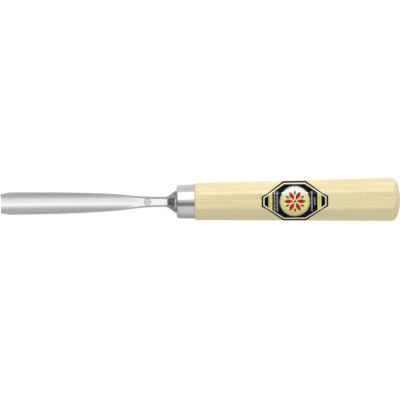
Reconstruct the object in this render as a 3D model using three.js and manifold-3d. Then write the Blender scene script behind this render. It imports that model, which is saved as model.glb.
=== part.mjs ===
// A carving gouge for hand and light mallet work, as four separate pieces: the forged blade with
// its bolster and tang, the drawn steel ferrule, the octagonal wooden handle and the film label.
//
// Units are millimetres. Every piece is modelled on the tool's own axis: X runs from the cutting
// edge towards the butt and is 0 at the shoulder, where the bolster meets the ferrule, and the
// hollow of the blade opens towards +Z. At the end the whole tool is laid on the lowest facet of
// its handle, as it lies on a bench, with the origin under the middle of its bounding box.

import * as THREE from "three";
import { mergeVertices } from "three/addons/utils/BufferGeometryUtils.js";
import Module from "manifold-3d";

// Lengths along the tool
const BLADE_LENGTH = 112.5; // cutting edge to shoulder
const FERRULE_LENGTH = 11.6;
const HANDLE_LENGTH = 130.9; // the wood behind the ferrule
const TANG_LENGTH = 46;
const FIT_GAP = 0.1; // between pieces that touch in the real tool

// Blade; places along it are measured from the cutting edge
const BLADE_WIDTH = 14.4; // over both rims at the cutting edge
const HOLLOW_RADIUS = 6.6; // the sweep of the gouge
const HOLLOW_DEPTH = 3.8; // at the cutting edge, below the rims
const HOLLOW_LENGTH = 88; // cutting edge to the end of the hollow
const HOLLOW_RUNOUT = 4; // a higher power stays deep for longer before it rises
const BLADE_BACK = 2.8; // the back of the blade below the axis, at the cutting edge
const RIM_CHAMFER = 1.1;
const BEVEL_ANGLE = THREE.MathUtils.degToRad(17);
const BEVEL_REACH = 8; // past the end of the bevel on the blade
const EDGE_THICKNESS = 0.1;
const WIDE_REACH = 95; // how far back the outline's curve is pulled towards the full width
const WIDE_LOSS = 0.2; // what each side loses by then
const SLIM_REACH = 74; // how far forward it is pulled towards the shank's width
const SQUARING = [60, 100]; // where the round back turns square
const CHAMFERING = [72, 100]; // where the rims widen into the shank's cut corners

// Shank and bolster
const SHANK_WIDTH = 6.4;
const SHANK_CHAMFER = 1.25;
const NECK_X = -8; // where the shank is slimmest and the bolster starts to flare
const FLARE_HOLD = 3; // the bolster stays slim this far behind the neck
const FLARE_TURN = 3.4; // and turns outwards here,
const FLARE_RISE = 1; // this much wider on each side
const BOLSTER_WIDTH = 13.7; // across the flats of the octagon at the collar
const COLLAR_DIAMETER = 14.2; // the bolster's corners are turned down to it
const COLLAR_THICKNESS = 1;
const COLLAR_CHAMFER = 0.2;

// Tang: a square spike
const TANG_ROOT_WIDTH = 6.8;
const TANG_END_WIDTH = 3;
const TANG_POINT_WIDTH = 0.8;
const TANG_POINT_LENGTH = 4;

// Ferrule: a drawn cup with a hole for the tang
const FERRULE_FRONT_DIAMETER = 21.4;
const FERRULE_BACK_DIAMETER = 22;
const FERRULE_WALL = 1;
const FERRULE_CORNER = 1.4;
const FERRULE_HOLE_DIAMETER = 10.8;

// Handle
const HANDLE_FRONT_WIDTH = 23.5; // across flats
const HANDLE_BUTT_WIDTH = 27.4;
const HANDLE_SHOULDER_RADIUS = 11.35; // of the turned bevel at the ferrule
const BUTT_ROUNDING = 6.5; // length of the turned dome
const BUTT_FLAT_RADIUS = 9.3; // the dome is nearly flat this far out
const BUTT_TURN = 1.6; // it turns forward this far in front of the butt,
const BUTT_TURN_RADIUS = 13; // this far out
const CLEAR_RADIUS = 15; // outside every arris of the handle
const SPIGOT_BEVEL = 0.8;
const SPIGOT_ROOT = 1; // how far the spigot runs into the wood behind it
const ARRIS_SOFTENING = 0.3;
const BORE_GAP = 0.3; // between the tang and the wood

// Label: a film over the three upper facets, seen from above as a long octagon
const LABEL_MIDDLE_X = 75.25;
const LABEL_LENGTH = 42.2;
const LABEL_TOP_LENGTH = 14.3;
const LABEL_END_WIDTH = 6.5;
const LABEL_WIDTH = 25.2;
const LABEL_THICKNESS = 0.12;
const LABEL_GAP = 0.03;

const EDGE_X = -BLADE_LENGTH;
const WOOD_X = FERRULE_LENGTH + FIT_GAP; // the wood's shoulder
const BUTT_X = FERRULE_LENGTH + HANDLE_LENGTH;
const SHANK_TOP = SHANK_WIDTH / 2; // the rims and the shank's upper face share this height
const HOLLOW_AXIS_Z = SHANK_TOP - HOLLOW_DEPTH + HOLLOW_RADIUS;
const OCTAGON_CORNER = 1 - Math.tan(Math.PI / 8); // a corner's cut over the half width
const FACETS = 8;

const { lerp, smoothstep } = THREE.MathUtils;
const point2 = (x, y) => new THREE.Vector2(x, y);

const wasm = await Module();
wasm.setup();

// ---- Solids from geometries, and back ----

function solidOf(geometry) {
  const bare = geometry.clone();
  for (const name of ["normal", "uv"]) bare.deleteAttribute(name);
  const merged = mergeVertices(bare, 1e-4);
  return new wasm.Manifold(
    new wasm.Mesh({
      numProp: 3,
      vertProperties: merged.attributes.position.array,
      triVerts: new Uint32Array(merged.index.array),
    }),
  );
}

function geometryOf(solid) {
  const mesh = solid.getMesh();
  const geometry = new THREE.BufferGeometry();
  geometry.setAttribute("position", new THREE.BufferAttribute(mesh.vertProperties, 3));
  geometry.setIndex(new THREE.BufferAttribute(mesh.triVerts, 1));
  const faceted = geometry.toNonIndexed();
  faceted.computeVertexNormals();
  return faceted;
}

// ---- Ways of making a solid along the tool's axis ----

// A closed solid through outlines, each { x, outline } with as many [y, z] points as the others,
// anticlockwise seen from the butt. The ends are closed by fans, so they are convex.
function loft(stations) {
  const count = stations[0].outline.length;
  const positions = [];
  const indices = [];
  for (const { x, outline } of stations) {
    for (const [y, z] of outline) positions.push(x, y, z);
  }
  for (let ring = 0; ring + 1 < stations.length; ring++) {
    for (let i = 0; i < count; i++) {
      const a = ring * count + i;
      const b = ring * count + ((i + 1) % count);
      indices.push(a, b, a + count, b, b + count, a + count);
    }
  }
  const last = (stations.length - 1) * count;
  for (let i = 1; i + 1 < count; i++) {
    indices.push(0, i + 1, i);
    indices.push(last, last + i, last + i + 1);
  }
  const geometry = new THREE.BufferGeometry();
  geometry.setAttribute("position", new THREE.Float32BufferAttribute(positions, 3));
  geometry.setIndex(indices);
  return solidOf(geometry);
}

// A solid turned about the tool's axis from a profile of [x, radius] points, anticlockwise with
// X to the right. The profile runs from the axis back to the axis, or closes on itself.
function turned(profile, segments) {
  const points = profile.map(([x, radius]) => point2(radius, -x));
  const geometry = new THREE.LatheGeometry(points, segments);
  return solidOf(geometry.rotateZ(Math.PI / 2));
}

function square(halfWidth) {
  return [
    [halfWidth, -halfWidth],
    [halfWidth, halfWidth],
    [-halfWidth, halfWidth],
    [-halfWidth, -halfWidth],
  ];
}

// ---- Blade ----

// One half of a blade section below its upper face, from the rim round to the middle of the
// back. A squareness of 0 gives a round back and 1 a back with flat sides and cut corners.
function backOutline({ halfWidth, top, bottom, chamfer, squareness }) {
  const steps = 8;
  const rim = top - chamfer;
  const corners = [
    [0, halfWidth, rim],
    [3, halfWidth, bottom + chamfer],
    [5, halfWidth - chamfer, bottom],
    [steps, 0, bottom],
  ];
  const outline = [];
  for (let step = 0; step <= steps; step++) {
    const angle = (step / steps) * (Math.PI / 2);
    const round = [halfWidth * Math.cos(angle), rim - (rim - bottom) * Math.sin(angle)];
    const next = Math.max(1, corners.findIndex(([at]) => at >= step));
    const [from, fromY, fromZ] = corners[next - 1];
    const [to, toY, toZ] = corners[next];
    const share = (step - from) / (to - from);
    outline.push([
      lerp(round[0], lerp(fromY, toY, share), squareness),
      lerp(round[1], lerp(fromZ, toZ, share), squareness),
    ]);
  }
  return outline;
}

function bladeStation(x, section) {
  const half = [[section.halfWidth - section.chamfer, section.top], ...backOutline(section)];
  const left = half.slice(0, -1).map(([y, z]) => [-y, z]);
  return { x, outline: [...half.reverse(), ...left] };
}

// The blade and shank before grinding: wide and round-backed at the edge, square at the neck.
function bladeStations() {
  const outline = new THREE.CubicBezierCurve(
    point2(EDGE_X, BLADE_WIDTH / 2),
    point2(EDGE_X + WIDE_REACH, BLADE_WIDTH / 2 - WIDE_LOSS),
    point2(EDGE_X + SLIM_REACH, SHANK_WIDTH / 2),
    point2(NECK_X, SHANK_WIDTH / 2),
  );
  return outline.getPoints(24).map(({ x, y }) => {
    const fromEdge = x - EDGE_X;
    return bladeStation(x, {
      halfWidth: y,
      top: SHANK_TOP,
      bottom: -lerp(BLADE_BACK, SHANK_WIDTH / 2, fromEdge / (NECK_X - EDGE_X)),
      chamfer: lerp(RIM_CHAMFER, SHANK_CHAMFER, smoothstep(fromEdge, ...CHAMFERING)),
      squareness: smoothstep(fromEdge, ...SQUARING),
    });
  });
}

// The bolster flares in a hollow curve from the square shank to an octagon at its collar.
function bolsterStations() {
  const flare = new THREE.CubicBezierCurve(
    point2(NECK_X, SHANK_WIDTH / 2),
    point2(NECK_X + FLARE_HOLD, SHANK_WIDTH / 2),
    point2(NECK_X + FLARE_TURN, SHANK_WIDTH / 2 + FLARE_RISE),
    point2(-COLLAR_THICKNESS, BOLSTER_WIDTH / 2),
  );
  return flare.getPoints(10).slice(1).map(({ x, y }) => {
    const share = (y - SHANK_WIDTH / 2) / (BOLSTER_WIDTH / 2 - SHANK_WIDTH / 2);
    return bladeStation(x, {
      halfWidth: y,
      top: y,
      bottom: -y,
      chamfer: lerp(SHANK_CHAMFER, (BOLSTER_WIDTH / 2) * OCTAGON_CORNER, share),
      squareness: 1,
    });
  });
}

// The grinding wheel's path through the blade: a round bottom that rises out of the upper face.
function hollowCutter() {
  const steps = 24;
  const overrun = 2;
  const stations = [];
  for (let ring = 0; ring <= steps; ring++) {
    const fromEdge = lerp(-overrun, HOLLOW_LENGTH + overrun, ring / steps);
    const share = Math.max(0, fromEdge) / HOLLOW_LENGTH;
    const axisZ = SHANK_TOP - HOLLOW_DEPTH * (1 - share ** HOLLOW_RUNOUT) + HOLLOW_RADIUS;
    const outline = [];
    for (let i = 0; i <= steps; i++) {
      const angle = Math.PI * (1 + i / steps);
      outline.push([
        HOLLOW_RADIUS * Math.cos(angle),
        axisZ + HOLLOW_RADIUS * Math.sin(angle),
      ]);
    }
    outline.push([HOLLOW_RADIUS, axisZ + overrun], [-HOLLOW_RADIUS, axisZ + overrun]);
    stations.push({ x: EDGE_X + fromEdge, outline });
  }
  return loft(stations);
}

// What the outside bevel grinds away: everything outside a cone about the hollow's axis.
function bevelCutter() {
  const before = 0.5;
  const outside = BLADE_WIDTH;
  const edge = HOLLOW_RADIUS + EDGE_THICKNESS;
  const slope = Math.tan(BEVEL_ANGLE);
  const ring = [
    [EDGE_X - before, edge - before * slope],
    [EDGE_X + BEVEL_REACH, edge + BEVEL_REACH * slope],
    [EDGE_X + BEVEL_REACH, outside],
    [EDGE_X - before, outside],
    [EDGE_X - before, edge - before * slope],
  ];
  return turned(ring, 72).translate([0, 0, HOLLOW_AXIS_Z]);
}

// What the lathe leaves of the bolster's corners; it stands clear of the shank and the blade.
function bolsterEnvelope() {
  const radius = COLLAR_DIAMETER / 2;
  const clear = BLADE_WIDTH / 2 + 1;
  return turned(
    [
      [0, 0],
      [0, radius],
      [NECK_X / 2, radius],
      [NECK_X, clear],
      [EDGE_X - 1, clear],
      [EDGE_X - 1, 0],
    ],
    48,
  );
}

function collar() {
  const radius = COLLAR_DIAMETER / 2;
  return turned(
    [
      [0, 0],
      [0, radius - COLLAR_CHAMFER],
      [-COLLAR_CHAMFER, radius],
      [-COLLAR_THICKNESS, radius],
      [-COLLAR_THICKNESS, 0],
    ],
    48,
  );
}

function tang(gap) {
  const pointX = TANG_LENGTH - TANG_POINT_LENGTH;
  return loft([
    { x: -COLLAR_THICKNESS / 2, outline: square(TANG_ROOT_WIDTH / 2 + gap) },
    { x: pointX, outline: square(TANG_END_WIDTH / 2 + gap) },
    { x: TANG_LENGTH + gap, outline: square(TANG_POINT_WIDTH / 2 + gap) },
  ]);
}

function blade() {
  return loft([...bladeStations(), ...bolsterStations()])
    .intersect(bolsterEnvelope())
    .subtract(hollowCutter())
    .subtract(bevelCutter())
    .add(collar())
    .add(tang(0));
}

// ---- Ferrule ----

function ferruleRadius(x) {
  const share = x / FERRULE_LENGTH;
  return lerp(FERRULE_FRONT_DIAMETER, FERRULE_BACK_DIAMETER, share) / 2;
}

function ferrule() {
  const front = FIT_GAP;
  const inside = front + FERRULE_WALL;
  const hole = FERRULE_HOLE_DIAMETER / 2;
  const corner = [];
  const cornerSteps = 4;
  for (let step = 0; step <= cornerSteps; step++) {
    const angle = (step / cornerSteps) * (Math.PI / 2);
    corner.push([
      front + FERRULE_CORNER * (1 - Math.sin(angle)),
      ferruleRadius(front) - FERRULE_CORNER * (1 - Math.cos(angle)),
    ]);
  }
  return turned(
    [
      [front, hole],
      [inside, hole],
      [inside, ferruleRadius(inside) - FERRULE_WALL],
      [FERRULE_LENGTH, ferruleRadius(FERRULE_LENGTH) - FERRULE_WALL],
      [FERRULE_LENGTH, ferruleRadius(FERRULE_LENGTH)],
      ...corner,
      [front, hole],
    ],
    48,
  );
}

// ---- Handle ----

function facetDistance(x) {
  const share = (x - FERRULE_LENGTH) / HANDLE_LENGTH;
  return lerp(HANDLE_FRONT_WIDTH, HANDLE_BUTT_WIDTH, share) / 2;
}

// The outline of an octagon that lies on one facet, its arrises just taken off.
function octagon(apothem) {
  const halfFacet = apothem * Math.tan(Math.PI / FACETS) - ARRIS_SOFTENING;
  const outline = [];
  for (let facet = 0; facet < FACETS; facet++) {
    for (const side of [-1, 1]) {
      const corner = point2(apothem, side * halfFacet);
      corner.rotateAround(point2(0, 0), (facet / FACETS) * 2 * Math.PI);
      outline.push(corner.toArray());
    }
  }
  return outline;
}

// The tapered octagon between two planes, standing a gap outside the wood.
function octagonBar(from, to, gap) {
  return loft([
    { x: from, outline: octagon(facetDistance(from) + gap) },
    { x: to, outline: octagon(facetDistance(to) + gap) },
  ]);
}

// What the lathe leaves: a bevel at the shoulder, clearance over the facets and a domed butt.
function turnedEnvelope() {
  const dome = new THREE.CubicBezierCurve(
    point2(BUTT_X, 0),
    point2(BUTT_X, BUTT_FLAT_RADIUS),
    point2(BUTT_X - BUTT_TURN, BUTT_TURN_RADIUS),
    point2(BUTT_X - BUTT_ROUNDING, CLEAR_RADIUS),
  );
  return turned(
    [
      ...dome.getPoints(12).map(({ x, y }) => [x, y]),
      [WOOD_X + CLEAR_RADIUS - HANDLE_SHOULDER_RADIUS, CLEAR_RADIUS],
      [WOOD_X, HANDLE_SHOULDER_RADIUS],
      [WOOD_X, 0],
    ],
    64,
  );
}

function spigot() {
  const front = FIT_GAP + FERRULE_WALL + FIT_GAP;
  const radius = (x) => ferruleRadius(x) - FERRULE_WALL - FIT_GAP;
  return turned(
    [
      [WOOD_X + SPIGOT_ROOT, 0],
      [WOOD_X + SPIGOT_ROOT, radius(WOOD_X)],
      [WOOD_X, radius(WOOD_X)],
      [front + SPIGOT_BEVEL, radius(front + SPIGOT_BEVEL)],
      [front, radius(front) - SPIGOT_BEVEL],
      [front, 0],
    ],
    48,
  );
}

function handle() {
  return octagonBar(WOOD_X, BUTT_X, 0)
    .intersect(turnedEnvelope())
    .add(spigot())
    .subtract(tang(BORE_GAP));
}

// ---- Label ----

function label() {
  const halfLength = LABEL_LENGTH / 2;
  const halfTop = LABEL_TOP_LENGTH / 2;
  const halfWidth = LABEL_WIDTH / 2;
  const halfEnd = LABEL_END_WIDTH / 2;
  const outline = new THREE.Shape([
    point2(-halfLength, -halfEnd),
    point2(-halfTop, -halfWidth),
    point2(halfTop, -halfWidth),
    point2(halfLength, -halfEnd),
    point2(halfLength, halfEnd),
    point2(halfTop, halfWidth),
    point2(-halfTop, halfWidth),
    point2(-halfLength, halfEnd),
  ]);
  const seenFromAbove = new THREE.ExtrudeGeometry(outline, {
    depth: HANDLE_BUTT_WIDTH,
    bevelEnabled: false,
  });
  seenFromAbove.translate(LABEL_MIDDLE_X, 0, 0);
  const from = LABEL_MIDDLE_X - LABEL_LENGTH;
  const to = LABEL_MIDDLE_X + LABEL_LENGTH;
  return solidOf(seenFromAbove)
    .intersect(octagonBar(from, to, LABEL_GAP + LABEL_THICKNESS))
    .subtract(octagonBar(from - 1, to + 1, LABEL_GAP));
}

// ---- The tool ----

const MATERIALS = {
  ground_steel: { color: 0xc9cacc, metalness: 1, roughness: 0.32 },
  nickel_plate: { color: 0xd4d4d2, metalness: 1, roughness: 0.2 },
  hornbeam: { color: 0xe7d9ac, metalness: 0, roughness: 0.5 },
  label_film: { color: 0x0f0f0e, metalness: 0, roughness: 0.25 },
};

function piece(name, solid, material) {
  const mesh = new THREE.Mesh(
    geometryOf(solid),
    new THREE.MeshStandardMaterial(MATERIALS[material]),
  );
  mesh.name = name;
  return mesh;
}

const tool = new THREE.Group();
tool.add(
  piece("blade_with_tang", blade(), "ground_steel"),
  piece("ferrule", ferrule(), "nickel_plate"),
  piece("handle", handle(), "hornbeam"),
  piece("handle_label", label(), "label_film"),
);

// The handle tapers, so the tool's axis dips towards the blade when a facet lies flat.
const facetSlope = (HANDLE_BUTT_WIDTH - HANDLE_FRONT_WIDTH) / 2 / HANDLE_LENGTH;
tool.rotation.y = -Math.atan(facetSlope);

const gouge = new THREE.Group();
gouge.add(tool);
gouge.updateMatrixWorld(true);
const box = new THREE.Box3().setFromObject(gouge, true);
tool.position.set(-(box.min.x + box.max.x) / 2, 0, -box.min.z);

export default gouge;
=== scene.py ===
"""Looks for a carving gouge: the forged steel blade, the nickel-plated ferrule, the hornbeam handle
and its printed label, each built on the tool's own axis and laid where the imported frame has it."""

import math

import bmesh
import bpy
from bpy.props import FloatProperty, FloatVectorProperty, IntProperty, PointerProperty
from bpy.types import Operator, Panel, PropertyGroup
from mathutils import Matrix, Vector
from mathutils.geometry import delaunay_2d_cdt


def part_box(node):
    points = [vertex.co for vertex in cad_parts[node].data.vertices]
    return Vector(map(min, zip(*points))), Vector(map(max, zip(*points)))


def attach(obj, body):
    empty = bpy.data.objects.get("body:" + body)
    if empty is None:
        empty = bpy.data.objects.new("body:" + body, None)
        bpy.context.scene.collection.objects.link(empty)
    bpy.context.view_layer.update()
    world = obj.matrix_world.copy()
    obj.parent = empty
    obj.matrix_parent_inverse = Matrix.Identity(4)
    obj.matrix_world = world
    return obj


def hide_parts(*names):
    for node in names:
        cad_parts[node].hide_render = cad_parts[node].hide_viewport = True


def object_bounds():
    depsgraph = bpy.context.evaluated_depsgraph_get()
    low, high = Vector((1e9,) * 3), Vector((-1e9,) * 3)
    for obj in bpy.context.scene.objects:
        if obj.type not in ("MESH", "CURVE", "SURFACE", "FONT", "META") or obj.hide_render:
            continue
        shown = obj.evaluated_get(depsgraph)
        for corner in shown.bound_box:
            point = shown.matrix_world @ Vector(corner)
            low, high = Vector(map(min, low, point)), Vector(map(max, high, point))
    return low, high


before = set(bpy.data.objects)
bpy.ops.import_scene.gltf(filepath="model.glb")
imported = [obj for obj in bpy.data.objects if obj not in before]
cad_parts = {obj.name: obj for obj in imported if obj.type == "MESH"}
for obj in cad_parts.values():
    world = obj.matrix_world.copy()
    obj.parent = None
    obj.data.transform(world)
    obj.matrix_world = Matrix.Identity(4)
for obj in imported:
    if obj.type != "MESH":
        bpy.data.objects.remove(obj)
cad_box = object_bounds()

bl_info = {
    "name": "Carving Gouge",
    "version": (1, 0, 0),
    "blender": (4, 5, 0),
    "location": "3D View > Sidebar > Gouge",
    "description": "Builds a carving gouge: blade, ferrule, handle and label",
    "category": "Add Mesh",
}

MM = 0.001
BODY = "root"
FACETS = 8
FACET_HALF = math.tan(math.pi / FACETS)  # half a facet's width, over its distance from the axis


# ---- Settings ----


def length(name, description, millimetres):
    return FloatProperty(
        name=name,
        description=description,
        default=millimetres * MM,
        min=0,
        precision=5,
        subtype="DISTANCE",
        unit="LENGTH",
    )


def colour(name, description, red, green, blue):
    return FloatVectorProperty(
        name=name,
        description=description,
        default=(red, green, blue),
        min=0,
        max=1,
        size=3,
        subtype="COLOR",
    )


def angle(name, description, degrees):
    return FloatProperty(
        name=name, description=description, default=math.radians(degrees), subtype="ANGLE"
    )


class BladeSettings(PropertyGroup):
    blade_length: length("Length", "Cutting edge to the shoulder", 112.5)
    width: length("Width", "Over both rims at the cutting edge", 14.4)
    hollow_radius: length("Hollow radius", "The sweep of the gouge", 6.6)
    hollow_depth: length("Hollow depth", "At the cutting edge, below the rims", 3.8)
    hollow_length: length("Hollow length", "Cutting edge to the end of the hollow", 88)
    runout: IntProperty(name="Run-out", description="Power of the hollow's rise", default=4, min=1)
    back: length("Back", "The back of the blade below the axis, at the edge", 2.8)
    rim: length("Rim", "Chamfer along the rims", 1.1)
    bevel: angle("Bevel", "Angle of the outside bevel", 17)
    edge: length("Edge", "Thickness of the cutting edge", 0.06)
    shank_width: length("Shank width", "At its slimmest", 6.4)
    shank_chamfer: length("Shank chamfer", "On the shank's four corners", 1.25)
    neck: length("Neck", "From the slimmest place to the shoulder", 8)
    bolster_width: length("Bolster width", "Across the flats at the collar", 13.7)
    collar_diameter: length("Collar diameter", "Of the round collar", 14.2)
    collar_thickness: length("Collar thickness", "Of the round collar", 1)
    tang_length: length("Tang length", "Inside the handle", 46)
    tang_width: length("Tang width", "At its root", 6.8)
    stamp_place: length("Stamp place", "Cutting edge to the middle of the stamp", 94)
    stamp_radius: length("Stamp radius", "Of the stamped ring", 2)
    stamp_depth: length("Stamp depth", "How deep the ring is struck", 0.22)
    steel: colour("Steel", "Ground steel", 0.55, 0.55, 0.555)
    forged: colour("Forged steel", "The bolster, polished less bright", 0.45, 0.45, 0.455)
    scale: colour("Scale", "Dark spots left from the forge on the bolster", 0.09, 0.09, 0.095)


class FerruleSettings(PropertyGroup):
    ferrule_length: length("Length", "Shoulder to the wood", 11.6)
    seat: length("Seat", "Left free where it seats on the bolster and on the wood", 0.1)
    front_diameter: length("Front diameter", "At the bolster", 21.4)
    back_diameter: length("Back diameter", "At the wood", 22)
    wall: length("Wall", "Thickness of the drawn cup", 1)
    corner: length("Corner", "Rounding of the front edge", 1.4)
    hole_diameter: length("Hole", "For the tang", 10.8)
    nickel: colour("Nickel", "Polished plating", 0.62, 0.62, 0.61)


class HandleSettings(PropertyGroup):
    wood_length: length("Length", "Ferrule to butt", 130.9)
    front_width: length("Front width", "Across the flats at the ferrule", 23.5)
    butt_width: length("Butt width", "Across the flats at the butt", 27.4)
    shoulder_radius: length("Shoulder radius", "Where the turned bevel starts", 11.35)
    dome: length("Dome", "Length of the turned butt", 6.5)
    sanding: length("Sanding", "Taken off the end of the butt", 0.03)
    arris: length("Arris", "What is taken off each arris", 0.12)
    pale_wood: colour("Pale wood", "The ground colour of the hornbeam", 0.79, 0.71, 0.45)
    warm_wood: colour("Warm wood", "The darker streaks", 0.69, 0.585, 0.32)
    fleck: colour("Fleck", "The fine flecks along the grain", 0.55, 0.42, 0.23)


class LabelSettings(PropertyGroup):
    middle: length("Middle", "Shoulder to the middle of the label", 75.25)
    label_length: length("Length", "Point to point along the handle", 42.2)
    top_length: length("Top length", "Of the two long edges", 14.3)
    width: length("Width", "Seen from above, over three facets", 25.2)
    end_width: length("End width", "Of the two short edges", 6.5)
    gap: length("Gap", "Between the wood and the film", 0.03)
    film: length("Film", "Thickness of the film", 0.12)
    bend: length("Bend", "Over which the film turns at an arris", 1)
    ink: length("Ink", "How far the ornament stands up", 0.02)
    disc_radius: length("Disc radius", "Of the round middle", 9.6)
    petals: IntProperty(
        name="Petals", description="In the rosette", default=6, min=3, max=16
    )
    black: colour("Black", "Ground", 0.003, 0.003, 0.003)
    cream: colour("Cream", "Edging line", 0.80, 0.78, 0.58)
    yellow: colour("Yellow", "Bands across the ends", 0.76, 0.67, 0.22)
    # Painted sheen: the disc's far side, towards the lamps, is painted lighter than its straw print.
    painted_sheen: colour("Pearl", "The disc's far side", 0.88, 0.88, 0.80)
    straw: colour("Straw", "The disc's middle and near side", 0.82, 0.73, 0.25)
    silver: colour("Silver", "Rings and notches", 0.62, 0.63, 0.58)
    red: colour("Red", "Petals", 0.48, 0.018, 0.045)
    green: colour("Green", "Hub, and darts between the petals", 0.01, 0.19, 0.09)
    olive: colour("Olive", "Marks on the bands and dots on the disc", 0.30, 0.27, 0.06)


class StageSettings(PropertyGroup):
    view_width: length("View width", "What the camera takes in at the tool", 255.4)
    camera_lean: angle("Camera lean", "Off the vertical, over the far side", 3)
    camera_turn: angle("Camera turn", "About its own line of sight", 0.69)
    camera_rise: length("Camera rise", "Aimed this far beyond the tool's middle line", 0.95)
    floor: colour("Floor", "Pale paper", 0.62, 0.62, 0.62)


# ---- Places and curves ----


def tool_place(scene):
    """Where the tool's own axes lie in the frame: X along it from the shoulder, Z out of the hollow.
    The lowest facet lies flat, so the axis dips towards the edge by half the handle's taper."""
    handle, ferrule = scene.gouge_handle, scene.gouge_ferrule
    slope = facet_slope(handle)
    dip = Matrix.Rotation(-math.atan(slope), 4, "Y")
    low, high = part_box("ferrule")
    ferrule_middle = dip @ Vector(((ferrule.seat + ferrule.ferrule_length) / 2, 0, 0))
    shoulder_facet = handle.front_width / 2 - slope * ferrule.ferrule_length
    height = shoulder_facet * math.cos(math.atan(slope))
    return Matrix.Translation(((low.x + high.x) / 2 - ferrule_middle.x, 0, height)) @ dip


def facet_slope(handle):
    return (handle.butt_width - handle.front_width) / 2 / handle.wood_length


def mix(a, b, share):
    return a + (b - a) * share


def smoothstep(value, low, high):
    share = min(1, max(0, (value - low) / (high - low)))
    return share * share * (3 - 2 * share)


def smooth_minimum(a, b, blend):
    share = max(0, blend - abs(a - b)) / blend
    return min(a, b) - share * share * blend / 4


def bezier(points, share):
    """A point of the cubic through two ends and two handles, each (along, out)."""
    weights = [(1 - share) ** 3, 3 * share * (1 - share) ** 2, 3 * share**2 * (1 - share), share**3]
    return tuple(sum(w * p[i] for w, p in zip(weights, points)) for i in (0, 1))


def bezier_at(points, along):
    """How far out the cubic is at a place along it, found by halving."""
    low, high = 0.0, 1.0
    for _ in range(40):
        middle = (low + high) / 2
        if bezier(points, middle)[0] < along:
            low = middle
        else:
            high = middle
    return bezier(points, low)[1]


def spread(low, high, count):
    """Even places from low up to, but not at, high."""
    return [mix(low, high, i / count) for i in range(count)]


# ---- Meshes ----


def add_object(name, data, scene):
    thing = bpy.data.objects.new(name, data)
    scene.collection.objects.link(thing)
    return thing


def new_mesh(name, vertices, faces=()):
    mesh = bpy.data.meshes.new(name)
    mesh.from_pydata(vertices, [], faces)
    return mesh


def new_piece(name, vertices, faces, scene):
    """A mesh on the tool's own axes, laid in the frame."""
    mesh = new_mesh(name, vertices, faces)
    mesh.transform(tool_place(scene))
    return add_object(name, mesh, scene)


def close_up(mesh, crease=28):
    """Merges doubles, turns the faces outwards and keeps the creases crisp."""
    shell = bmesh.new()
    shell.from_mesh(mesh)
    bmesh.ops.remove_doubles(shell, verts=shell.verts, dist=0.002 * MM)
    bmesh.ops.dissolve_degenerate(shell, edges=shell.edges, dist=0.001 * MM)
    bmesh.ops.recalc_face_normals(shell, faces=shell.faces)
    if shell.calc_volume(signed=True) < 0:
        bmesh.ops.reverse_faces(shell, faces=shell.faces)
    shell.to_mesh(mesh)
    shell.free()
    mesh.shade_smooth()
    mesh.set_sharp_from_angle(angle=math.radians(crease))


def stands_for(piece, node):
    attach(piece, BODY)
    if node:
        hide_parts(node)


class Nodes:
    """Adds nodes to a tree. An input is given a value, or another node's output to be linked."""

    def __init__(self, tree):
        self.tree = tree

    def add(self, kind, inputs=None, **settings):
        node = self.tree.nodes.new(kind)
        for name, value in settings.items():
            setattr(node, name, value)
        self.fill(node, inputs or {})
        return node

    def fill(self, node, inputs):
        for key, value in inputs.items():
            self.feed(node.inputs[key], value)

    def feed(self, socket, value):
        if isinstance(value, bpy.types.NodeSocket):
            self.tree.links.new(value, socket)
        else:
            socket.default_value = value

    def maths(self, operation, *values):
        """One sum, with its output."""
        inputs = dict(enumerate(values))
        return self.add("ShaderNodeMath", inputs, operation=operation).outputs[0]

    def point(self, x, y, z):
        return self.add("ShaderNodeCombineXYZ", {0: x, 1: y, 2: z}).outputs[0]


# ---- Geometry Nodes ----


def geometry_tree(name, inputs):
    """A new tree with named inputs, its node adder and its group input's outputs by name."""
    tree = bpy.data.node_groups.new(name, "GeometryNodeTree")
    for label, kind in inputs.items():
        tree.interface.new_socket(label, in_out="INPUT", socket_type=kind)
    tree.interface.new_socket("Geometry", in_out="OUTPUT", socket_type="NodeSocketGeometry")
    nodes = Nodes(tree)
    return tree, nodes, nodes.add("NodeGroupInput").outputs


def end_tree(nodes, geometry, material):
    real = nodes.add("GeometryNodeRealizeInstances", {"Geometry": geometry})
    smooth = nodes.add("GeometryNodeSetShadeSmooth", {"Geometry": real.outputs[0]})
    finish = nodes.add(
        "GeometryNodeSetMaterial", {"Geometry": smooth.outputs[0], "Material": material}
    )
    nodes.add("NodeGroupOutput", {"Geometry": finish.outputs[0]})


def piece_from_tree(name, tree, values, scene):
    """Runs a tree with these values for its inputs, and keeps the result as a plain mesh."""
    piece = add_object(name, bpy.data.meshes.new(name), scene)
    modifier = piece.modifiers.new(tree.name, "NODES")
    modifier.node_group = tree
    sockets = {s.name: s.identifier for s in tree.interface.items_tree if s.in_out == "INPUT"}
    for label, value in values.items():
        modifier[sockets[label]] = value
    bpy.context.view_layer.update()
    graph = bpy.context.evaluated_depsgraph_get()
    mesh = bpy.data.meshes.new_from_object(piece.evaluated_get(graph))
    piece.modifiers.clear()
    piece.data = mesh
    mesh.name = name
    mesh.transform(tool_place(scene))
    return piece


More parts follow.
